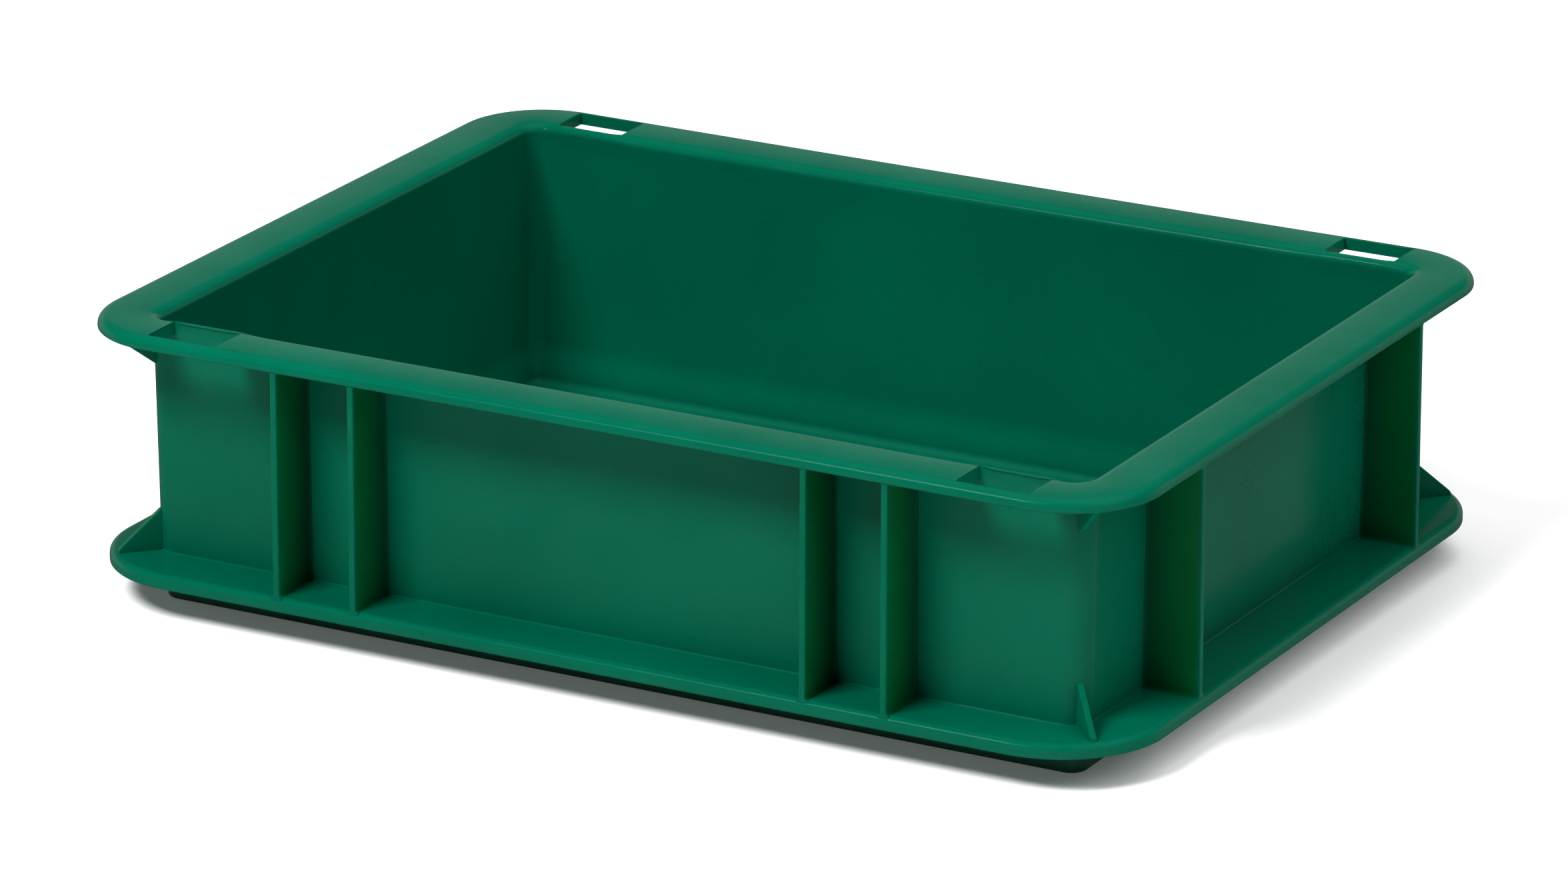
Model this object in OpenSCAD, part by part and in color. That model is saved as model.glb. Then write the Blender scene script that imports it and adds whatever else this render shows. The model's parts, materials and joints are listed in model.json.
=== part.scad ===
// Stacking crate, one injection moulding in polypropylene.
// The moulding is drawn as its named regions: floor, stacking foot, walls, base flange, rim,
// ribs and corner gussets. Neighbouring regions meet face to face and never overlap.
// +Z is up, X runs along the long sides, and the origin is under the middle of the crate.
// An inset is a horizontal distance in from the crate's outer edge.

/* [Overall] */
// Outside length, along X
crate_l = 400; // [380:10:600]
// Outside width, along Y
crate_w = 300; // [260:10:400]
// Outside height, foot to rim
crate_h = 102; // [80:1:320]

/* [Rim] */
// Thickness of the rim
rim_t = 4.5; // [4.5:0.5:6]
// Outer radius of the rim's corners
rim_r = 32.5; // [31.5:0.5:35]
// Radius on the rim's outer top edge
rim_edge_r = 3.5; // [0.5:0.1:3.5]
// Radius on the rim's inner top edge
rim_inner_r = 4; // [0.5:0.1:4]

/* [Lid slots] */
// Length of one slot, along the rim
slot_l = 26.5; // [15:0.5:26.5]
// Distance from the crate's middle to the middle of a slot, along X
slot_x = 154; // [130:0.5:154]
// Width of rim left outside a slot
slot_band = 3.9; // [3.6:0.1:6]

/* [Walls] */
// Wall thickness
wall_t = 2.5; // [2:0.1:2.7]
// Inset of a wall's outer face, at the rim
wall_inset = 20.3; // [19:0.1:21]
// How much further in the wall's outer face is at the base flange
wall_draft = 1; // [0:0.1:1.4]
// Outer radius of the wall corners, at the rim
wall_r = 9; // [9:0.5:11]

/* [Base] */
// Thickness of the base flange
flange_t = 5; // [4.5:0.5:6]
// Outer radius of the base flange's corners
flange_r = 38; // [34:1:40]
// Radius on the flange's outer top edge
flange_edge_r = 2.5; // [0.5:0.1:3.5]
// Height of the stacking foot below the base flange
foot_h = 12.5; // [8:0.5:14]
// Inset of the foot's outer face
foot_inset = 23.2; // [23.1:0.1:23.4]
// Thickness of the foot's wall
foot_t = 2.7; // [2:0.1:3]
// Thickness of the floor panel and of the ledge inside the foot
floor_t = 2.5; // [2:0.1:3]
// Height of the floor panel's underside above the ground
floor_lift = 1.2; // [0.5:0.1:2]

/* [Ribs and gussets] */
// Thickness of the ribs
rib_t = 2.4; // [1.5:0.1:4]
// Inset of a rib's outer edge
rib_inset = 0.5; // [0:0.1:3]
// Distance from the middle to the outer ribs of a long side
rib_far = 116.2; // [100:0.1:125]
// Distance from the middle to the inner ribs of a long side
rib_near = 86.1; // [40:0.1:95]
// Distance from the middle to the ribs of a short side
rib_end = 83.6; // [40:0.1:90]
// Thickness of the corner gussets
gusset_t = 2; // [1.5:0.1:3]
// Height of a base gusset above the flange
gusset_rise = 15; // [8:0.5:18]
// Depth of a rim gusset below the rim
gusset_drop = 13; // [8:0.5:18]

/* [Hidden] */
$fn = 96;
green = [0.0, 0.40, 0.30];

SIDES = ["front", "right", "rear", "left"];
CORNERS = ["front_left", "front_right", "rear_left", "rear_right"];
LONG_RIBS = [-rib_far, -rib_near, rib_near, rib_far];
END_RIBS = [-rib_end, rib_end];

// Each side is drawn as the front, with its outer edge towards -Y, and turned into place
function side_turn(side) = 90 * search([side], SIDES)[0];
function side_half(side) = is_long(side) ? crate_l / 2 : crate_w / 2;
function side_out(side) = is_long(side) ? crate_w / 2 : crate_l / 2;
function is_long(side) = side == "front" || side == "rear";
function ribs_of(side) = is_long(side) ? LONG_RIBS : END_RIBS;
// Each corner is drawn at +X +Y and mirrored into place
function is_left(corner) = corner == "front_left" || corner == "rear_left";
function is_front(corner) = corner == "front_left" || corner == "front_right";

rim_z = crate_h - rim_t;
flange_top = foot_h + flange_t;
wall_foot_inset = wall_inset + wall_draft;
rim_inner = wall_inset + wall_t;
rim_flat = rim_inner - rim_inner_r;
wall_foot_inner = wall_foot_inset + wall_t;
foot_inner = foot_inset + foot_t;
ledge_z = foot_h + floor_t;
// The wall, foot and inner rim corners share this centre, given as an inset on both sides
bend = wall_inset + wall_r;
edge_band = 5;
// The gussets start inside the wall corner, where they are cut away, and end short of the edge
gusset_root = 4;
core_inset = bend - gusset_root / 2;
gusset_tip = 2.2;
gusset_nose = 0.8;
overshoot = 1;

// Placing

module on_side(side) {
    rotate([0, 0, side_turn(side)])
        children();
}

module on_corner(corner) {
    mirror([is_left(corner) ? 1 : 0, 0, 0])
        mirror([0, is_front(corner) ? 1 : 0, 0])
            children();
}

// Extrudes a section of (inset, height) along a side that stops short of both corners
module along(side, corner_size) {
    translate([0, -side_out(side), 0])
        rotate([90, 0, 90])
            linear_extrude(2 * (side_half(side) - corner_size), center = true)
                children();
}

// Turns a section of (inset, height) through one corner, about the wall's bend
module around_bend() {
    translate([crate_l / 2 - bend, crate_w / 2 - bend, 0])
        rotate_extrude(angle = 90)
            translate([bend, 0])
                mirror([1, 0])
                    children();
}

// Plan outlines and sections

// The crate's outline seen from above, drawn in by an inset, with rounded corners
module outline(inset, radius) {
    length = crate_l - 2 * inset;
    width = crate_w - 2 * inset;
    square([length, width - 2 * radius], center = true);
    square([length - 2 * radius, width], center = true);
    for (x = [-1, 1])
        for (y = [-1, 1])
            translate([x * (length / 2 - radius), y * (width / 2 - radius)])
                circle(radius);
}

// A plate between the outer edge and an inner inset, its outer top edge rounded
module lip_section(thickness, edge, inner) {
    translate([edge, 0])
        square([inner - edge, thickness]);
    square([edge, thickness - edge]);
    intersection() {
        translate([edge, thickness - edge])
            circle(edge);
        square([edge, thickness]);
    }
}

// The rim's inner edge, rounded over into the wall's inner face
module inner_edge_section() {
    translate([rim_flat, 0]) {
        square([rim_inner_r, rim_t - rim_inner_r]);
        intersection() {
            translate([0, rim_t - rim_inner_r])
                circle(rim_inner_r);
            square([rim_inner_r, rim_t]);
        }
    }
}

module wall_section() {
    polygon([
        [wall_foot_inset, foot_h],
        [wall_foot_inset, flange_top],
        [wall_inset, rim_z],
        [rim_inner, rim_z],
        [wall_foot_inner, flange_top],
        [wall_foot_inner, foot_h],
    ]);
}

module foot_section() {
    polygon([
        [foot_inset, 0],
        [foot_inset, foot_h],
        [wall_foot_inner, foot_h],
        [wall_foot_inner, ledge_z],
        [foot_inner, ledge_z],
        [foot_inner, 0],
    ]);
}

// The space inside the wall's outer face, which the gussets are cut back to
module wall_core_section() {
    polygon([
        [wall_foot_inset, foot_h],
        [wall_foot_inset, flange_top],
        [wall_inset, rim_z],
        [wall_inset, rim_z + overshoot],
        [core_inset, rim_z + overshoot],
        [core_inset, foot_h],
    ]);
}

// Regions of the moulding

module floor_panel() {
    color(green)
        translate([0, 0, floor_lift])
            linear_extrude(floor_t)
                outline(foot_inner, bend - foot_inner);
}

module foot(side) {
    color(green)
        on_side(side)
            along(side, bend)
                foot_section();
}

module foot_corner(corner) {
    color(green)
        on_corner(corner)
            around_bend()
                foot_section();
}

module wall(side) {
    color(green)
        on_side(side)
            along(side, bend)
                wall_section();
}

module wall_corner(corner) {
    color(green)
        on_corner(corner)
            around_bend()
                wall_section();
}

module flange(side) {
    color(green)
        on_side(side)
            translate([0, 0, foot_h])
                along(side, flange_r)
                    lip_section(flange_t, flange_edge_r, wall_foot_inset);
}

module flange_corner(corner) {
    color(green)
        on_corner(corner)
            translate([0, 0, foot_h])
                lip_corner(flange_t, flange_edge_r, flange_r, wall_foot_inset);
}

module rim(side) {
    color(green)
        on_side(side)
            difference() {
                translate([0, 0, rim_z])
                    along(side, rim_r) {
                        lip_section(rim_t, rim_edge_r, rim_flat);
                        inner_edge_section();
                    }
                if (is_long(side))
                    for (x = [-slot_x, slot_x])
                        lid_slot(x);
            }
}

module rim_corner(corner) {
    color(green)
        on_corner(corner)
            translate([0, 0, rim_z]) {
                lip_corner(rim_t, rim_edge_r, rim_r, rim_flat);
                inner_edge_corner();
            }
}

module rib(side, x) {
    color(green)
        on_side(side)
            translate([x, -side_out(side), 0])
                rotate([90, 0, 90])
                    linear_extrude(rib_t, center = true)
                        polygon([
                            [rib_inset, flange_top],
                            [rib_inset, rim_z],
                            [wall_inset, rim_z],
                            [wall_foot_inset, flange_top],
                        ]);
}

module base_gusset(corner) {
    reach = diagonal_reach(flange_r) - gusset_tip;
    color(green)
        on_corner(corner)
            gusset([
                [gusset_root, flange_top],
                [reach, flange_top],
                [reach, flange_top + gusset_nose],
                [wall_r, flange_top + gusset_rise],
                [gusset_root, flange_top + gusset_rise],
            ]);
}

module rim_gusset(corner) {
    reach = diagonal_reach(rim_r) - gusset_tip;
    color(green)
        on_corner(corner)
            gusset([
                [gusset_root, rim_z],
                [reach, rim_z],
                [reach, rim_z - gusset_nose],
                [wall_r, rim_z - gusset_drop],
                [gusset_root, rim_z - gusset_drop],
            ]);
}

// Shared details

// Distance from the wall's bend to the rounded outer edge, along the corner's diagonal
function diagonal_reach(radius) = radius - sqrt(2) * (radius - bend);

// A corner of the rim or flange: a turned edge band, filled in to the inner rounded corner
module lip_corner(thickness, edge, radius, inner) {
    translate([crate_l / 2 - radius, crate_w / 2 - radius, 0])
        rotate_extrude(angle = 90)
            translate([radius, 0])
                mirror([1, 0])
                    lip_section(thickness, edge, edge_band);
    linear_extrude(thickness)
        intersection() {
            difference() {
                outline(edge_band, radius - edge_band);
                outline(inner, bend - inner);
            }
            translate([crate_l / 2 - radius, crate_w / 2 - radius])
                square(radius);
        }
}

// The rim's inner edge in a corner: the bend, and the short straights between it and the sides
module inner_edge_corner() {
    intersection() {
        union() {
            around_bend()
                inner_edge_section();
            on_side("right")
                along("right", bend)
                    inner_edge_section();
            on_side("rear")
                along("rear", bend)
                    inner_edge_section();
        }
        translate([crate_l / 2 - rim_r, crate_w / 2 - rim_r, 0])
            cube([rim_r, rim_r, rim_t]);
    }
}

module lid_slot(x) {
    translate([x - slot_l / 2, -crate_w / 2 + slot_band, rim_z - overshoot])
        cube([slot_l, wall_inset - slot_band, rim_t + 2 * overshoot]);
}

// A fin on the corner's diagonal, cut back to the outside of the wall corner
module gusset(points) {
    difference() {
        translate([crate_l / 2 - bend, crate_w / 2 - bend, 0])
            rotate([90, 0, 45])
                linear_extrude(gusset_t, center = true)
                    polygon(points);
        around_bend()
            wall_core_section();
    }
}

floor_panel();
for (side = SIDES) {
    foot(side);
    wall(side);
    flange(side);
    rim(side);
    for (i = [1 : len(ribs_of(side))])
        rib(side, ribs_of(side)[i - 1]);
}
for (corner = CORNERS) {
    foot_corner(corner);
    wall_corner(corner);
    flange_corner(corner);
    rim_corner(corner);
    base_gusset(corner);
    rim_gusset(corner);
}
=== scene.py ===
import json
import math

import bmesh
import bpy
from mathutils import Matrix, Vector


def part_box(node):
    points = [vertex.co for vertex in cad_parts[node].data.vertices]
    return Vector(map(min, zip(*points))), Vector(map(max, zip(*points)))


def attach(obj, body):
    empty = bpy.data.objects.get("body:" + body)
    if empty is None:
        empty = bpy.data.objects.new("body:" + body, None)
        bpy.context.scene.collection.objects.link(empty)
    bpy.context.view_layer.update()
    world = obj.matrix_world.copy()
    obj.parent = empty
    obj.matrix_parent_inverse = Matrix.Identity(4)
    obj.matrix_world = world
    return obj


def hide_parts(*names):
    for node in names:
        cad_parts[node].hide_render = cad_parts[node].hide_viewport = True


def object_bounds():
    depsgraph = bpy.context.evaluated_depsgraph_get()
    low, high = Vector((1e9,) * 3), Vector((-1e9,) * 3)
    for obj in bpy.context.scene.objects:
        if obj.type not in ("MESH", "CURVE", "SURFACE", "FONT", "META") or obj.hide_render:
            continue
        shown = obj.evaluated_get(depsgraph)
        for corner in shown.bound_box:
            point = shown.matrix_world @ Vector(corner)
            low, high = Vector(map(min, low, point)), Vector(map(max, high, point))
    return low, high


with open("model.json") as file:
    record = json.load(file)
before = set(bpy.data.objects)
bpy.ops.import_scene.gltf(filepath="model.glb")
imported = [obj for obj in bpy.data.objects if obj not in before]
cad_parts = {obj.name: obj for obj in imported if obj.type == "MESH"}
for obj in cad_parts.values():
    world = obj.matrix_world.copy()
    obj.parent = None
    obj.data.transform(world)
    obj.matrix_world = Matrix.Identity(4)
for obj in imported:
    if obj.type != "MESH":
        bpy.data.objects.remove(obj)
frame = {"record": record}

CAD_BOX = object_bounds()
MM = 0.001
QUARTER = math.pi / 2
DIAGONAL = math.sqrt(0.5)

# ---------------------------------------------------------------- sizes, in mm, from the CAD


def low(node):
    return [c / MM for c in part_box(node)[0]]


def high(node):
    return [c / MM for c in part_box(node)[1]]


HALF_L, HALF_W, TOP = [c / MM for c in CAD_BOX[1]]
RIM_Z = low("rim_front")[2]
RIM_INNER = HALF_L - low("rim_right")[0]
RIM_BEND = HALF_L - low("rim_corner_rear_right")[0]
WALL_INSET = HALF_L - high("wall_right")[0]
WALL_T = RIM_INNER - WALL_INSET
WALL_DRAFT = HALF_L - low("wall_right")[0] - RIM_INNER
BEND = HALF_L - low("wall_corner_rear_right")[0]
FLANGE_Z = low("flange_front")[2]
FLANGE_TOP = high("flange_front")[2]
FLANGE_BEND = HALF_L - low("flange_corner_rear_right")[0]
FOOT_INSET = HALF_L - high("foot_right")[0]
FOOT_INNER = HALF_L - low("foot_right")[0]
LEDGE_Z = high("foot_right")[2]
FLOOR_LOW = low("floor_panel")[2]
FLOOR_TOP = high("floor_panel")[2]

# The record's opening in a slot is smaller than the slot by these gaps
SLOT_END_GAP = 0.25
SLOT_SIDE_GAP = 0.2
OPENINGS = {opening["name"]: opening["box_m"] for opening in frame["record"]["physics"]["openings"]}
SLOT_LOW, SLOT_HIGH = OPENINGS["lid_slot_rear_right"]
SLOT_X = (SLOT_LOW[0] / MM - SLOT_END_GAP, SLOT_HIGH[0] / MM + SLOT_END_GAP)
SLOT_BAND = HALF_W - SLOT_HIGH[1] / MM - SLOT_SIDE_GAP

# Heights at which the wall's mesh meets the flange's and the rim's
WALL_SEAM = (FLANGE_TOP + 2.2, RIM_Z - 3.5)
# Greatest inward bow of the long sides
BOW = 0.8
# Greatest gap between stations along a straight side
STATION_GAP = 10
ARC_STEPS = 24

SIDES = ("front", "right", "rear", "left")
CORNERS = ("front_left", "front_right", "rear_left", "rear_right")
RIB_COUNTS = {"front": 4, "right": 2, "rear": 4, "left": 2}


def all_nodes(kind):
    return [f"{kind}_{s}" for s in SIDES] + [f"{kind}_corner_{c}" for c in CORNERS]


def wall_out(z):
    """Inset of the wall's outer face at a height."""
    return WALL_INSET + WALL_DRAFT * (RIM_Z - z) / (RIM_Z - FLANGE_TOP)


def arc(centre, rx, rz, start, end, steps):
    """Points of an elliptical arc, in (inset, height); angles in quarter turns, 0 is further in, 1 is up."""
    points = []
    for i in range(steps + 1):
        a = QUARTER * (start + (end - start) * i / steps)
        points.append((centre[0] + rx * math.cos(a), centre[1] + rz * math.sin(a)))
    return points


def blend_centre(outer, outer_to, inner_from):
    """Inset of the corner's centre for each inset: outer near the edge, BEND at the wall."""

    def centre(inset):
        t = min(1, max(0, (inset - outer_to) / (inner_from - outer_to)))
        return outer + (BEND - outer) * t

    return centre


# ---------------------------------------------------------------- meshes


def settle(p):
    """The long sides bow slightly inwards between their corners, most at the rim."""
    x, y, z = p
    along = max(0, 1 - (x / (HALF_L - BEND)) ** 2)
    up = max(0, min(1, (z - FLANGE_TOP) / (RIM_Z - FLANGE_TOP)))
    side = max(-1, min(1, y / (HALF_W - BEND)))
    return (x, y - side * BOW * along * up, z)


def finish_piece(bm, name, nodes, material, sharp=38, reach=None):
    """Makes the mesh an object that stands for its CAD nodes; sharp is in degrees."""
    bmesh.ops.recalc_face_normals(bm, faces=bm.faces[:])
    for v in bm.verts:
        v.co = Vector(settle(v.co)) * MM
    mesh = bpy.data.meshes.new(name)
    bm.to_mesh(mesh)
    bm.free()
    mesh.polygons.foreach_set("use_smooth", [True] * len(mesh.polygons))
    mesh.set_sharp_from_angle(angle=math.radians(sharp))
    # reach tells where a rib's painted glow and painted shade go
    if reach:
        mesh.attributes.new("reach", "FLOAT", "POINT").data.foreach_set("value", reach)
    mesh.materials.append(material)
    piece = bpy.data.objects.new(name, mesh)
    bpy.context.scene.collection.objects.link(piece)
    weighted = piece.modifiers.new("weighted", "WEIGHTED_NORMAL")
    weighted.keep_sharp = True
    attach(piece, "root")
    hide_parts(*nodes)
    return piece


def turned(x, y, quarter):
    """A point turned by quarter turns, from the front side to another."""
    return [(x, y), (-y, x), (-x, -y), (y, -x)][quarter % 4]


def stations_of(long_stops, short_stops, arc_steps):
    """Stops round the outline: (side, place along it) on the straights, (side, None, turn) in the corners."""
    stops = []
    for side in range(4):
        for place in long_stops if side % 2 == 0 else short_stops:
            stops.append((side, place, 0))
        for i in range(arc_steps + 1):
            stops.append((side, None, i / arc_steps))
    return stops


def ring_point(stop, inset, z, centre):
    """Place of a profile point at a stop; centre gives the inset of the corner's centre."""
    side, place, turn = stop
    half, out = (HALF_L, HALF_W) if side % 2 == 0 else (HALF_W, HALF_L)
    if place is None:
        c = centre(inset)
        a = QUARTER * (turn - 1)
        x = half - c + (c - inset) * math.cos(a)
        y = c - out + (c - inset) * math.sin(a)
    else:
        x, y = place, inset - out
    return turned(x, y, side) + (z,)


def spread(end, gap):
    """Evenly spaced places from -end to end."""
    n = max(1, round(2 * end / gap))
    return [-end + 2 * end * i / n for i in range(n + 1)]


def ring(bm, profile, centre, stops, shape=None):
    """Sweeps a closed profile of (inset, height) round the crate; gives the grid of vertices and faces."""
    grid = []
    for inset, z in profile:
        row = []
        for stop in stops:
            s, h = shape(stop, inset, z) if shape else (inset, z)
            row.append(bm.verts.new(ring_point(stop, s, h, centre)))
        grid.append(row)
    faces = {}
    rows, cols = len(grid), len(stops)
    for i in range(rows):
        for j in range(cols):
            i2, j2 = (i + 1) % rows, (j + 1) % cols
            faces[i, j] = bm.faces.new((grid[i][j], grid[i][j2], grid[i2][j2], grid[i2][j]))
    return grid, faces


def index_of(profile, point):
    """Index of the profile point nearest to a point."""
    return min(range(len(profile)), key=lambda i: math.dist(profile[i], point))


# ---------------------------------------------------------------- material

BASE_DARK = (0.0, 0.086, 0.047)
BASE_LIGHT = (0.0, 0.103, 0.057)
FLOW_SCALE = 14
SPECK_SCALE = 900
GLOSS_SCALE = 55
ROUGH = (0.13, 0.24)
SPECULAR = 0.4
# Noise scale, detail, strength and depth in mm of each layer of unevenness
BUMPS = [(26, 3, 0.6, 0.30), (1400, 2, 0.10, 0.012)]
GLOW_RADIUS = (0.1, 1.0, 0.25)
GLOW_DEPTH = 3.5
# Painted light on a rib, as colour factors from its outer edge (0) to the wall (1): a painted yellowish glow
# of light shining through the thin rib, going over into painted shade towards the wall
RIB_PAINTED_LIGHT_STOPS = [
    (0.0, (1, 1, 1)),
    (0.05, (1, 1, 0.95)),
    (0.10, (1, 1.0, 0.40)),
    (0.5, (1, 0.85, 0.38)),
    (1.0, (1, 0.55, 0.4)),
]


def plastic(name, depth, dull=0, web=False):
    """Green satin polypropylene with flow mottling and a fine grain; depth is the share of light that
    scatters inside it, and dull is added to its roughness."""
    material = bpy.data.materials.new(name)
    material.use_nodes = True
    nodes, links = material.node_tree.nodes, material.node_tree.links
    shader = nodes["Principled BSDF"]
    place = nodes.new("ShaderNodeTexCoord")

    def noise(scale, detail, rough=0.5):
        n = nodes.new("ShaderNodeTexNoise")
        n.inputs["Scale"].default_value = scale
        n.inputs["Detail"].default_value = detail
        n.inputs["Roughness"].default_value = rough
        links.new(place.outputs["Object"], n.inputs["Vector"])
        return n.outputs["Fac"]

    def ramp(source, stops):
        r = nodes.new("ShaderNodeValToRGB")
        for i, (at, colour) in enumerate(stops):
            e = r.color_ramp.elements[i] if i < 2 else r.color_ramp.elements.new(at)
            e.position, e.color = at, (*colour, 1)
        links.new(source, r.inputs["Fac"])
        return r.outputs["Color"]

    flow = ramp(noise(FLOW_SCALE, 3, 0.55), [(0.3, BASE_DARK), (0.7, BASE_LIGHT)])
    speck = ramp(noise(SPECK_SCALE, 2), [(0.35, (0.94,) * 3), (0.65, (1,) * 3)])
    mix = nodes.new("ShaderNodeMix")
    mix.data_type, mix.blend_type = "RGBA", "MULTIPLY"
    mix.inputs[0].default_value = 1
    links.new(flow, mix.inputs[6])
    links.new(speck, mix.inputs[7])
    colour = mix.outputs[2]
    # On the ribs the colour is multiplied by painted light: a painted yellowish glow of light shining through
    # them and painted shade towards the wall
    if web:
        reach = nodes.new("ShaderNodeAttribute")
        reach.attribute_name = "reach"
        rib_painted_light = ramp(reach.outputs["Fac"], RIB_PAINTED_LIGHT_STOPS)
        painted_light_mix = nodes.new("ShaderNodeMix")
        painted_light_mix.data_type, painted_light_mix.blend_type = "RGBA", "MULTIPLY"
        painted_light_mix.inputs[0].default_value = 1
        links.new(colour, painted_light_mix.inputs[6])
        links.new(rib_painted_light, painted_light_mix.inputs[7])
        colour = painted_light_mix.outputs[2]
    links.new(colour, shader.inputs["Base Color"])

    rough = nodes.new("ShaderNodeMapRange")
    rough.inputs["To Min"].default_value = ROUGH[0] + dull
    rough.inputs["To Max"].default_value = ROUGH[1] + dull
    links.new(noise(GLOSS_SCALE, 4), rough.inputs["Value"])
    links.new(rough.outputs["Result"], shader.inputs["Roughness"])

    normal = None
    for scale, detail, strength, distance in BUMPS:
        bump = nodes.new("ShaderNodeBump")
        bump.inputs["Strength"].default_value = strength
        bump.inputs["Distance"].default_value = distance * MM
        links.new(noise(scale, detail), bump.inputs["Height"])
        if normal:
            links.new(normal, bump.inputs["Normal"])
        normal = bump.outputs["Normal"]
    links.new(normal, shader.inputs["Normal"])

    shader.inputs["Specular IOR Level"].default_value = SPECULAR
    if depth:
        shader.inputs["Subsurface Weight"].default_value = depth
        shader.inputs["Subsurface Radius"].default_value = GLOW_RADIUS
        shader.inputs["Subsurface Scale"].default_value = GLOW_DEPTH * MM
    return material


solid_plastic = plastic("crate_plastic_walls", 0)
thin_plastic = plastic("crate_plastic_ribs", 0.5)
dull_plastic = plastic("crate_plastic_base", 0, dull=0.3)
# The ribs' material, with a painted glow and painted shade multiplied into the plastic's colour
web_plastic = plastic("crate_plastic_webs", 0.5, web=True)

# ---------------------------------------------------------------- rim

# How much lower the rim's top is at its edges than in the middle
CROWN = 0.12
# Widths and heights of the rounded outer and inner edges
EDGE_RX, EDGE_RZ = 3.7, 3.4
INNER_RX, INNER_RZ = 4.2, 3.4
UNDER_EDGE = 0.6
UNDER_FILLET = 1.2
RIM_GAP = 9
RIM_FLATS = (5.2, 7.0, 9.0, 11.0, 13.0, 15.0, 16.6)
UNDER_FLATS = (16.0, 12.0, 8.0)
SLOT_STEPS = 6
SLOT_BEVEL = 0.45
# Beside a slot the inner edge is raised and moved in, fading out over a distance from its ends
SLOT_LIFT = 0.35
SLOT_SHIFT = 0.5
SLOT_REACH = 13
SLOT_FADE = 7
TINY = 0.01


def crowned(inset):
    """Height of the rim's slightly domed top."""
    middle = (EDGE_RX + RIM_INNER - INNER_RX) / 2
    half = (RIM_INNER - INNER_RX - EDGE_RX) / 2
    return TOP - CROWN * ((inset - middle) / half) ** 2


def rim_profile():
    edge_top = crowned(EDGE_RX)
    inner_top = crowned(RIM_INNER - INNER_RX)
    points = [(wall_out(WALL_SEAM[1]), WALL_SEAM[1])]
    points += arc((WALL_INSET - UNDER_FILLET, RIM_Z - UNDER_FILLET), UNDER_FILLET, UNDER_FILLET, 0, 1, 4)
    points += [(s, RIM_Z) for s in UNDER_FLATS + (SLOT_BAND,)]
    points += arc((UNDER_EDGE, RIM_Z + UNDER_EDGE), UNDER_EDGE, UNDER_EDGE, -1, -2, 3)
    points += arc((EDGE_RX, edge_top - EDGE_RZ), EDGE_RX, EDGE_RZ, 2, 1, 10)
    points += [(SLOT_BAND, crowned(SLOT_BAND))]
    points += [(s, crowned(s)) for s in RIM_FLATS]
    inner = arc((RIM_INNER - INNER_RX, inner_top - INNER_RZ), INNER_RX, INNER_RZ, 1, 0, 12)
    lip = min(range(len(inner)), key=lambda i: abs(inner[i][0] - WALL_INSET))
    inner[lip] = (WALL_INSET, inner[lip][1])
    points += inner
    points += [(wall_out(WALL_SEAM[1]) + WALL_T, WALL_SEAM[1])]
    return points


def rim_shape(stop, inset, z):
    """Beside a slot the inner edge keeps more of its height and width."""
    side, place, _ = stop
    if place is None or side % 2 or z < RIM_Z or inset < WALL_INSET + TINY:
        return inset, z
    near = max(0, 1 - max(0, abs(abs(place) - sum(SLOT_X) / 2) - SLOT_REACH) / SLOT_FADE)
    near = near * near * (3 - 2 * near)
    shift = SLOT_SHIFT * near * (z - RIM_Z + 1.0) / (TOP - RIM_Z)
    return inset + shift, min(TOP, z + SLOT_LIFT * near)


def slot_columns(stops, side, sign):
    """Indices of the stops along one slot."""
    first, last = sorted((sign * SLOT_X[0], sign * SLOT_X[1]))
    columns = []
    for j, (stop_side, place, _) in enumerate(stops):
        if stop_side == side and place is not None and first - TINY <= place <= last + TINY:
            columns.append(j)
    return columns


def cut_slot(bm, grid, faces, columns, top, under):
    """Cuts a slot through the rim and walls its sides; gives the edges around its top."""
    outline = []
    for j in columns[:-1]:
        for i in list(range(top[0], top[1])) + list(range(under[1], under[0])):
            bm.faces.remove(faces.pop((i, j)))
        for t, u in zip(top, under):
            bm.faces.new((grid[t][j], grid[t][j + 1], grid[u][j + 1], grid[u][j]))
    for j in (columns[0], columns[-1]):
        chain = [grid[i][j] for i in range(top[0], top[1] + 1)]
        chain += [grid[i][j] for i in range(under[1], under[0] + 1)]
        bm.faces.new(chain)
        outline += [(grid[i][j], grid[i + 1][j]) for i in range(top[0], top[1])]
    for j in columns[:-1]:
        outline += [(grid[i][j], grid[i][j + 1]) for i in top]
    return outline


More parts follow.
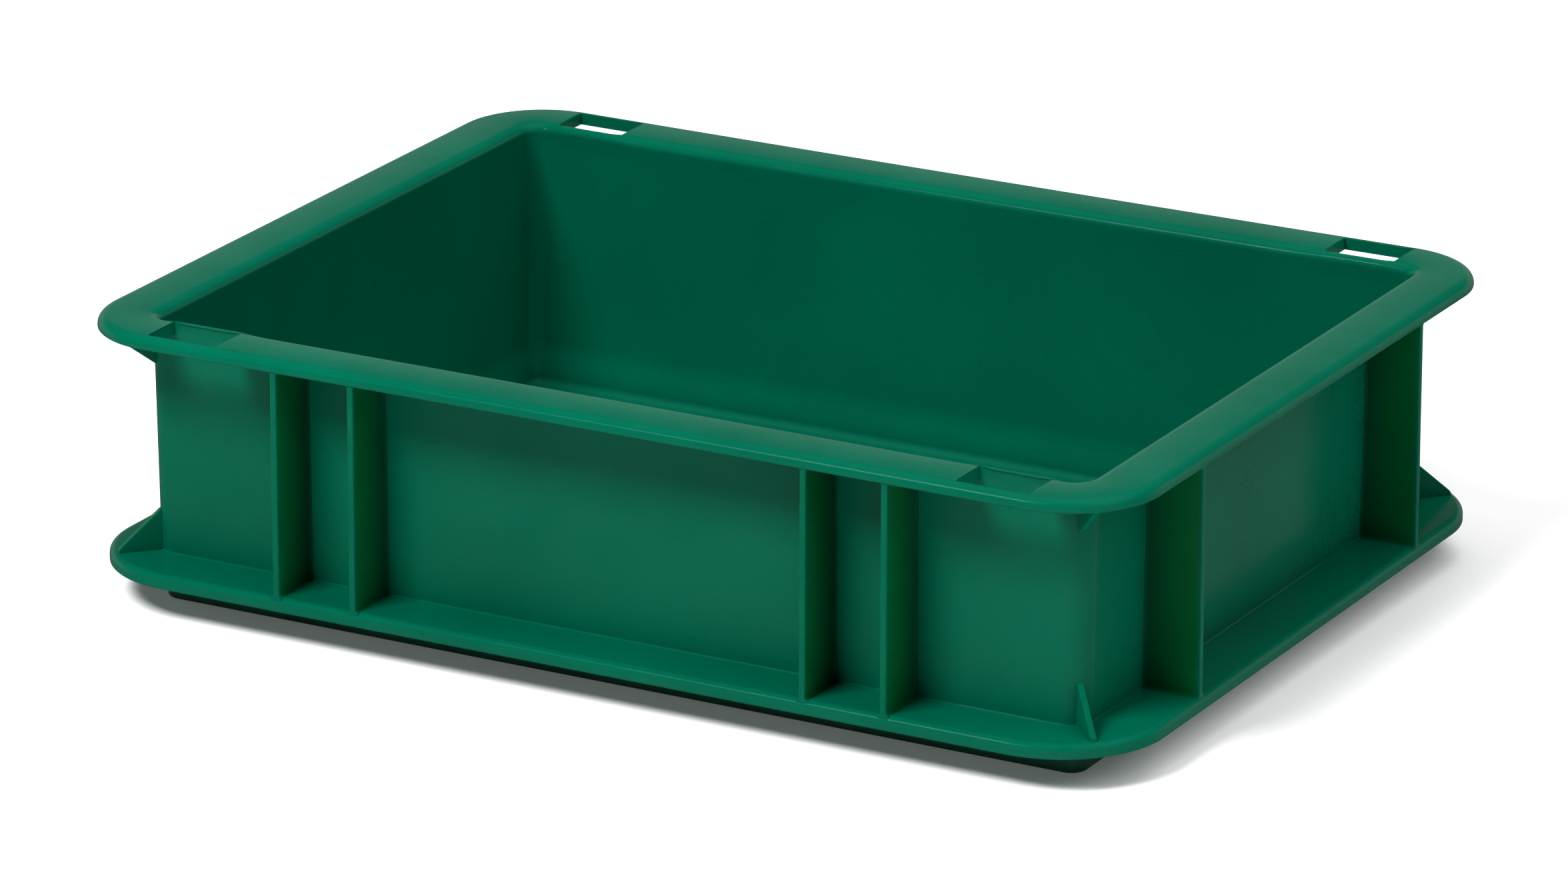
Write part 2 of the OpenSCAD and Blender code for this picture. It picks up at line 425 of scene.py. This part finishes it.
def make_rim():
    bm = bmesh.new()
    profile = rim_profile()
    centre = blend_centre(RIM_BEND, 5, RIM_INNER - 4)
    slot_length = SLOT_X[1] - SLOT_X[0]
    slot_stops = [SLOT_X[0] + slot_length * i / SLOT_STEPS for i in range(1, SLOT_STEPS + 1)]
    long_stops = [-x for x in reversed(slot_stops)] + spread(SLOT_X[0], RIM_GAP) + slot_stops
    stops = stations_of(long_stops, spread(HALF_W - RIM_BEND - 2, RIM_GAP), ARC_STEPS)
    grid, faces = ring(bm, profile, centre, stops, rim_shape)

    top = [index_of(profile, (SLOT_BAND, TOP)), index_of(profile, (WALL_INSET, TOP - 0.8))]
    under = [index_of(profile, (SLOT_BAND, RIM_Z)), index_of(profile, (WALL_INSET, RIM_Z - UNDER_FILLET))]
    outline = []
    for side in (0, 2):
        for sign in (-1, 1):
            outline += cut_slot(bm, grid, faces, slot_columns(stops, side, sign), top, under)
    loose = [e for e in bm.edges if not e.link_faces]
    bmesh.ops.delete(bm, geom=loose, context="EDGES")
    bmesh.ops.delete(bm, geom=[v for v in bm.verts if not v.link_faces], context="VERTS")
    edges = [bm.edges.get(pair) for pair in outline]
    bmesh.ops.bevel(
        bm,
        geom=[e for e in edges if e],
        offset=SLOT_BEVEL,
        offset_type="OFFSET",
        segments=3,
        profile=0.5,
        affect="EDGES",
    )
    for v in bm.verts:
        v.co.z = min(v.co.z, TOP)
    finish_piece(bm, "rim_ring", all_nodes("rim"), solid_plastic, 50)


# ---------------------------------------------------------------- walls, flange, foot, floor

# Depth and width of the dents in the inner face behind the ribs
SINK = 0.09
SINK_WIDTH = 1.6
# Stations that are added on both sides of a rib
RIB_STATIONS = (-4, -2.4, -1.2, 0, 1.2, 2.4, 4)
RIB_CLEAR = 5
WALL_STEPS = 8
STRAIGHT_END = 4


def rib_place(side, node):
    """Where a rib's middle is along its side, as seen with that side turned to the front."""
    quarter = SIDES.index(side)
    axis = quarter % 2
    return (low(node)[axis] + high(node)[axis]) / 2 * (1 if quarter < 2 else -1)


RIB_PLACES = {}
for side, count in RIB_COUNTS.items():
    RIB_PLACES[side] = [rib_place(side, f"rib_{side}_{number}") for number in range(1, count + 1)]


def sunk(stop, inset, z):
    """The inner face draws in slightly behind each rib."""
    side, place, _ = stop
    if place is None or inset < wall_out(z) + WALL_T / 2:
        return inset, z
    dents = sum(math.exp(-(((place - x) / SINK_WIDTH) ** 2)) for x in RIB_PLACES[SIDES[side]])
    return inset - SINK * dents, z


def wall_places(end, ribs):
    """Stations along a wall, closer together at the ribs."""
    places = spread(end, STATION_GAP)
    for x in ribs:
        places = [p for p in places if abs(p - x) > RIB_CLEAR]
        places += [x + d for d in RIB_STATIONS]
    return sorted(places)


def base_stops(arc_steps):
    """Stations of the foot and the floor."""
    long_stops = spread(HALF_L - BEND - STRAIGHT_END, STATION_GAP)
    short_stops = spread(HALF_W - BEND - STRAIGHT_END, STATION_GAP)
    return stations_of(long_stops, short_stops, arc_steps)


def make_wall():
    bm = bmesh.new()
    seam, rise = WALL_SEAM[0], WALL_SEAM[1] - WALL_SEAM[0]
    heights = [seam + rise * i / WALL_STEPS for i in range(WALL_STEPS + 1)]
    profile = [(wall_out(z), z) for z in heights]
    profile += [(wall_out(z) + WALL_T, z) for z in reversed(heights)]
    long_stops = wall_places(HALF_L - BEND - STRAIGHT_END, RIB_PLACES["front"])
    short_stops = wall_places(HALF_W - BEND - STRAIGHT_END, RIB_PLACES["right"])
    ring(bm, profile, lambda inset: BEND, stations_of(long_stops, short_stops, ARC_STEPS), sunk)
    finish_piece(bm, "wall_ring", all_nodes("wall"), solid_plastic)


FLANGE_EDGE = 2.5
FLANGE_UNDER_EDGE = 0.5
FLANGE_FILLET = 0.6
# Heights between which the inner face eases in from the wall to the foot
STEP_TOP, STEP_LOW = 19.5, 6.5
FOOT_EDGE = 1
FOOT_INNER_EDGE = 0.6
FLOOR_FILLET = 2.6


def inner_step(z):
    """Inset of the inner face where it eases in from the wall to the foot."""
    t = min(1, max(0, (STEP_TOP - z) / (STEP_TOP - STEP_LOW)))
    wall = wall_out(max(z, FLANGE_TOP)) + WALL_T
    return wall + (FOOT_INNER - wall) * t * t * (3 - 2 * t)


def step_points(start, end, steps):
    """Points of the eased inner face between two heights."""
    return [(inner_step(z), z) for z in (start + (end - start) * i / steps for i in range(steps + 1))]


def make_flange():
    bm = bmesh.new()
    root = wall_out(FLANGE_TOP)
    inner = root + WALL_T
    seam = WALL_SEAM[0]
    under = FLANGE_UNDER_EDGE
    profile = arc((under, FLANGE_Z + under), under, under, -1, -2, 3)
    profile += arc((FLANGE_EDGE, FLANGE_TOP - FLANGE_EDGE), FLANGE_EDGE, FLANGE_EDGE, 2, 1, 9)
    profile += [(s, FLANGE_TOP) for s in (5, 9, 13, 17)]
    corner = (root - FLANGE_FILLET, FLANGE_TOP + FLANGE_FILLET)
    profile += arc(corner, FLANGE_FILLET, FLANGE_FILLET, -1, 0, 5)
    profile += [(wall_out(seam), seam)] + step_points(seam, LEDGE_Z, 6)
    profile += [(inner, LEDGE_Z), (inner, FLANGE_Z)]
    profile += [(s, FLANGE_Z) for s in (17, 11, 5)]
    centre = blend_centre(FLANGE_BEND, 5, root - 1.2)
    long_stops = spread(HALF_L - FLANGE_BEND - 3, STATION_GAP)
    short_stops = spread(HALF_W - FLANGE_BEND - 3, STATION_GAP)
    stops = stations_of(long_stops, short_stops, ARC_STEPS)
    ring(bm, profile, centre, stops)
    finish_piece(bm, "flange_ring", all_nodes("flange"), solid_plastic)


def make_foot():
    bm = bmesh.new()
    inner = wall_out(FLANGE_TOP) + WALL_T
    profile = [(FOOT_INSET, FLANGE_Z)]
    profile += arc((FOOT_INSET + FOOT_EDGE, FOOT_EDGE), FOOT_EDGE, FOOT_EDGE, 2, 3, 5)
    edge = FOOT_INNER_EDGE
    profile += arc((FOOT_INNER - edge, edge), edge, edge, 3, 4, 3)
    profile += step_points(STEP_LOW, LEDGE_Z, 10)
    profile += [(inner, LEDGE_Z), (inner, FLANGE_Z)]
    ring(bm, profile, lambda inset: BEND, base_stops(ARC_STEPS))
    finish_piece(bm, "foot_ring", all_nodes("foot"), dull_plastic)


def make_floor():
    bm = bmesh.new()
    corner = (FOOT_INNER + FLOOR_FILLET, FLOOR_TOP + FLOOR_FILLET)
    rows = [(FOOT_INNER, FLOOR_LOW)]
    rows += arc(corner, FLOOR_FILLET, FLOOR_FILLET, 2, 3, 8)
    stops = base_stops(10)
    grid = [[bm.verts.new(ring_point(stop, s, z, lambda inset: BEND)) for stop in stops] for s, z in rows]
    for a, b in zip(grid, grid[1:]):
        for j in range(len(stops)):
            k = (j + 1) % len(stops)
            bm.faces.new((a[j], a[k], b[k], b[j]))
    bm.faces.new(grid[0])
    bm.faces.new(grid[-1])
    bmesh.ops.triangulate(bm, faces=[f for f in bm.faces if len(f.verts) > 4])
    finish_piece(bm, "floor_plate", ["floor_panel"], dull_plastic)


# ---------------------------------------------------------------- ribs and gussets

# Fillet where a rib meets the wall, the flange and the rim
RIB_ROOT = 1.0
RIB_EDGE = 0.55
# How far a rib's mesh goes on into the wall, the flange and the rim
IN_WALL = 0.4
IN_FLANGE = (1.8, 0.6)
IN_RIM = 0.5
FILLET_STOPS = (0, 0.08, 0.22, 0.45, 0.7, 1)
RIB_STEPS = 7


def flare(distance, radius):
    """How much a fillet adds to a half thickness at a distance from the face that it meets."""
    if distance >= radius:
        return 0
    d = radius - max(0, distance)
    return radius - math.sqrt(max(0, radius * radius - d * d))


def rib_section(half, outer, wall, extra):
    """One cross-section of a rib, as (along, inset), closed."""
    h = half + extra
    edge = RIB_EDGE
    side = []
    for i in range(5):
        a = QUARTER * i / 4
        side.append((h - edge + edge * math.sin(a), outer + edge - edge * math.cos(a)))
    for i in range(5):
        side.append((h, outer + edge + (wall - RIB_ROOT - outer - edge) * (i + 1) / 6))
    for i in range(6):
        a = QUARTER * i / 5
        side.append((h + RIB_ROOT * (1 - math.cos(a)), wall - RIB_ROOT + RIB_ROOT * math.sin(a)))
    side.append((h + RIB_ROOT, wall + IN_WALL))
    return side + [(-x, s) for x, s in reversed(side)]


def rib_heights():
    """Heights of a rib's cross-sections, closer together in its fillets."""
    free = RIM_Z - FLANGE_TOP - 2 * RIB_ROOT
    heights = [FLANGE_TOP - depth for depth in IN_FLANGE]
    heights += [FLANGE_TOP + RIB_ROOT * t for t in FILLET_STOPS]
    heights += [FLANGE_TOP + RIB_ROOT + free * i / RIB_STEPS for i in range(1, RIB_STEPS)]
    heights += [RIM_Z - RIB_ROOT * t for t in reversed(FILLET_STOPS)]
    return heights + [RIM_Z + IN_RIM]


def make_rib(side, node):
    lo, hi = low(node), high(node)
    quarter = SIDES.index(side)
    axis = quarter % 2
    middle = rib_place(side, node)
    half = (hi[axis] - lo[axis]) / 2
    out = HALF_W if axis == 0 else HALF_L
    outer = out - max(abs(lo[1 - axis]), abs(hi[1 - axis]))
    heights = rib_heights()
    bm = bmesh.new()
    rows = []
    for z in heights:
        extra = flare(min(z - FLANGE_TOP, RIM_Z - z), RIB_ROOT)
        section = rib_section(half, outer, wall_out(z), extra)
        rows.append([bm.verts.new(turned(middle + x, s - out, quarter) + (z,)) for x, s in section])
    count = len(rows[0])
    for a, b in zip(rows, rows[1:]):
        for j in range(count):
            k = (j + 1) % count
            bm.faces.new((a[j], a[k], b[k], b[j]))
    bm.faces.new(rows[0])
    bm.faces.new(rows[-1])
    # Share of the way from the rib's outer edge to the wall at each vertex; it places the painted glow and
    # painted shade in the rib's colour
    reach = [
        min(1, max(0, (s - outer) / (wall_out(z) - outer)))
        for z in heights
        for _, s in rib_section(half, outer, wall_out(z), 0)
    ]
    finish_piece(bm, node + "_web", [node], web_plastic, 50, reach)


GUSSET_HALF = 1.0
GUSSET_BEVEL = 0.4
# How far a gusset's mesh goes on into the flange or the rim
GUSSET_IN = 0.8
GUSSET_NOSE = 0.9
# How much less far out a rim gusset's mesh reaches than its CAD node
RIM_GUSSET_BACK = 1.5


def gusset_outline(kind, lo, hi):
    """Outline of a gusset as (distance from the corner's centre, height)."""
    reach = (max(abs(lo[0]), abs(hi[0])) - (HALF_L - BEND)) / DIAGONAL - GUSSET_HALF
    if kind == "base":
        edge, tip, up = lo[2], hi[2], 1
    else:
        edge, tip, up = hi[2], lo[2], -1
        reach -= RIM_GUSSET_BACK
    into = -up * GUSSET_IN
    outer_r = BEND - wall_out(edge)
    wall_r = BEND - wall_out(tip)
    nose = edge + up * GUSSET_NOSE
    return [
        (outer_r - 1.5, edge + into),
        (reach, edge + into),
        (reach, nose),
        (reach - 0.5, nose + up * 0.7),
        (wall_r + 0.6, tip - up * 0.6),
        (wall_r - 0.1, tip),
        (wall_r - 1.6, tip + up * 0.3),
    ]


def make_gusset(corner, kind):
    node = f"{kind}_gusset_{corner}"
    outline = gusset_outline(kind, low(node), high(node))
    sx = 1 if "right" in corner else -1
    sy = 1 if "rear" in corner else -1
    bm = bmesh.new()
    layers = []
    for side in (-1, 1):
        layer = []
        for along, z in outline:
            x = HALF_L - BEND + (along - side * GUSSET_HALF) * DIAGONAL
            y = HALF_W - BEND + (along + side * GUSSET_HALF) * DIAGONAL
            layer.append(bm.verts.new((sx * x, sy * y, z)))
        layers.append(layer)
        bm.faces.new(layer)
    count = len(outline)
    for j in range(count):
        k = (j + 1) % count
        bm.faces.new((layers[0][j], layers[0][k], layers[1][k], layers[1][j]))
    free = [bm.edges.get((layer[j], layer[j + 1])) for layer in layers for j in range(1, 6)]
    bmesh.ops.bevel(bm, geom=free, offset=GUSSET_BEVEL, segments=3, profile=0.5, affect="EDGES")
    finish_piece(bm, node + "_fin", [node], thin_plastic, 50)


make_rim()
make_wall()
make_flange()
make_foot()
make_floor()
for side, count in RIB_COUNTS.items():
    for number in range(1, count + 1):
        make_rib(side, f"rib_{side}_{number}")
for corner in CORNERS:
    make_gusset(corner, "base")
    make_gusset(corner, "rim")

# ---------------------------------------------------------------- floor, light and camera

scene = bpy.context.scene

STAGE_HALF = 6.0
PAPER = (0.9, 0.9, 0.9, 1)
FLOOR_GLOW = 0.085
# Brightness of the surroundings by elevation in degrees
SKY = [(-60, 0.04), (-22, 0.10), (4, 0.25), (16.2, 0.25), (19.4, 0.02), (60, 0.02)]
# The side on which the surroundings are bright, and how bright they are elsewhere
WALL_SIDE = (-0.48, 0.88, 0)
DARK_SIDE = 0.05
LAMP_AIM = (0, 0, 0.05)


def make_stage():
    bm = bmesh.new()
    turns = ((-1, -1), (1, -1), (1, 1), (-1, 1))
    corners = [bm.verts.new((x * STAGE_HALF, y * STAGE_HALF, 0)) for x, y in turns]
    bm.faces.new(corners)
    mesh = bpy.data.meshes.new("stage_floor")
    bm.to_mesh(mesh)
    bm.free()
    floor = bpy.data.objects.new("stage_floor", mesh)
    scene.collection.objects.link(floor)
    paper = bpy.data.materials.new("stage_paper")
    paper.use_nodes = True
    shader = paper.node_tree.nodes["Principled BSDF"]
    shader.inputs["Base Color"].default_value = PAPER
    shader.inputs["Roughness"].default_value = 1
    shader.inputs["Specular IOR Level"].default_value = 0
    shader.inputs["Emission Color"].default_value = (1, 1, 1, 1)
    shader.inputs["Emission Strength"].default_value = FLOOR_GLOW
    mesh.materials.append(paper)
    floor.visible_glossy = False


def softbox(name, at, towards, size, power, mirrored):
    """A rectangular lamp; mirrored says whether the plastic's gloss shows it."""
    data = bpy.data.lights.new(name, "AREA")
    data.shape = "RECTANGLE"
    data.size, data.size_y = size
    data.energy = power
    lamp = bpy.data.objects.new(name, data)
    lamp.location = at
    lamp.rotation_euler = (Vector(towards) - Vector(at)).to_track_quat("-Z", "Y").to_euler()
    lamp.visible_glossy = mirrored
    scene.collection.objects.link(lamp)


def make_world():
    world = bpy.data.worlds.new("studio")
    world.use_nodes = True
    nodes, links = world.node_tree.nodes, world.node_tree.links
    back = nodes["Background"]
    place = nodes.new("ShaderNodeTexCoord")
    split = nodes.new("ShaderNodeSeparateXYZ")
    links.new(place.outputs["Generated"], split.inputs[0])
    shift = nodes.new("ShaderNodeMath")
    shift.operation = "MULTIPLY_ADD"
    shift.inputs[1].default_value = 0.5
    shift.inputs[2].default_value = 0.5
    links.new(split.outputs["Z"], shift.inputs[0])
    ramp = nodes.new("ShaderNodeValToRGB")
    ramp.color_ramp.interpolation = "EASE"
    for i, (elevation, value) in enumerate(SKY):
        at = 0.5 + 0.5 * math.sin(math.radians(elevation))
        e = ramp.color_ramp.elements[i] if i < 2 else ramp.color_ramp.elements.new(at)
        e.position, e.color = at, (value, value, value, 1)
    links.new(shift.outputs[0], ramp.inputs["Fac"])
    links.new(ramp.outputs["Color"], back.inputs["Color"])
    towards = nodes.new("ShaderNodeVectorMath")
    towards.operation = "DOT_PRODUCT"
    towards.inputs[1].default_value = WALL_SIDE
    links.new(place.outputs["Generated"], towards.inputs[0])
    fade = nodes.new("ShaderNodeMapRange")
    fade.inputs["From Min"].default_value = 0.0
    fade.inputs["From Max"].default_value = 0.5
    fade.inputs["To Min"].default_value = DARK_SIDE
    fade.inputs["To Max"].default_value = 1.0
    links.new(towards.outputs["Value"], fade.inputs["Value"])
    links.new(fade.outputs["Result"], back.inputs["Strength"])
    scene.world = world


make_stage()
make_world()
softbox("key", (-0.6, -1.75, 2.35), LAMP_AIM, (1.1, 0.9), 112, False)
softbox("top", (0.2, 0.6, 2.5), LAMP_AIM, (2.8, 2.4), 62, False)
softbox("fill", (2.0, -0.2, 1.9), LAMP_AIM, (1.8, 1.4), 26, False)
softbox("spark", (-0.95, -1.5, 1.85), (0.1, -0.15, 0.1), (0.12, 0.35), 1.3, True)

CAMERA_AZIMUTH, CAMERA_ELEVATION = math.radians(28.792), math.radians(19.084)
CAMERA_DISTANCE = 3.059472
CAMERA_TARGET = Vector((0, -0.004573, 0.050745))
CAMERA_LENS = 204.145
CAMERA_SENSOR = 36
camera_data = bpy.data.cameras.new("camera")
camera_data.sensor_width = CAMERA_SENSOR
camera_data.lens = CAMERA_LENS
camera_data.clip_start, camera_data.clip_end = 0.05, 40
camera = bpy.data.objects.new("camera", camera_data)
back = Vector(
    (
        math.sin(CAMERA_AZIMUTH) * math.cos(CAMERA_ELEVATION),
        -math.cos(CAMERA_AZIMUTH) * math.cos(CAMERA_ELEVATION),
        math.sin(CAMERA_ELEVATION),
    )
)
camera.location = CAMERA_TARGET + back * CAMERA_DISTANCE
camera.rotation_euler = (-back).to_track_quat("-Z", "Y").to_euler()
scene.collection.objects.link(camera)
scene.camera = camera
scene.view_settings.view_transform = "Standard"

bpy.context.view_layer.update()
